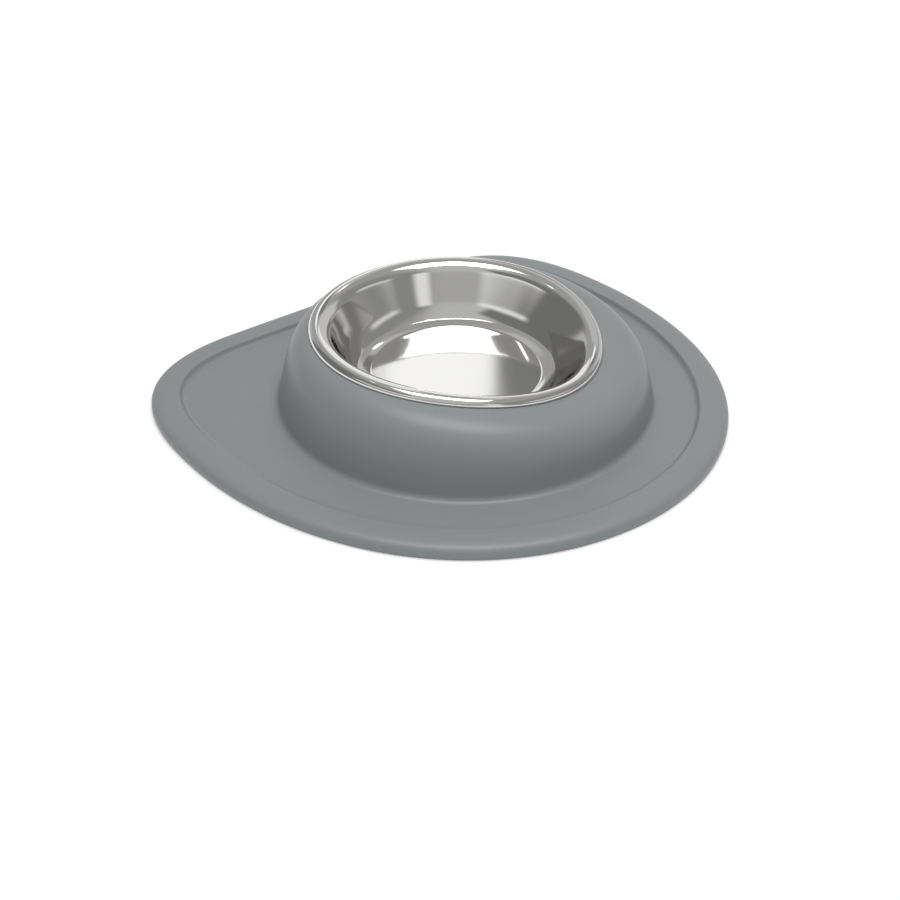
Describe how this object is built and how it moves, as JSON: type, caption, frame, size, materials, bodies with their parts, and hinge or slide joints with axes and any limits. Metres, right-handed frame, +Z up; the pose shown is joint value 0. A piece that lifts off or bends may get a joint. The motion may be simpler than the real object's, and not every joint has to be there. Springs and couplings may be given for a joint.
{
  "type": "pet food bowl",
  "caption": "Low pet feeder: a scooped round steel bowl that lifts out of the raised pedestal of a soft moulded mat with a rounded spill border.",
  "frame": {"origin": "centre of the bounding box, on the flat underside that the mat rests on", "axes": "+Z up, -Y towards the mat's round front, +Y towards its straight back edge, +X to the right seen from the front"},
  "size_m": [0.2942, 0.2698, 0.0453],
  "materials": {
    "soft_grey_plastic": "matt, smooth, slightly cool mid grey moulding",
    "satin_steel": "bright satin stainless steel"
  },
  "bodies": {
    "mat": {"feeder_mat": "soft_grey_plastic"},
    "bowl": {"steel_bowl": "satin_steel"}
  },
  "joints": [
    {"name": "bowl_lift", "type": "slide", "parent": "mat", "child": "bowl", "axis": [0, 0, 1], "range_m": [0, 0.06]}
  ]
}
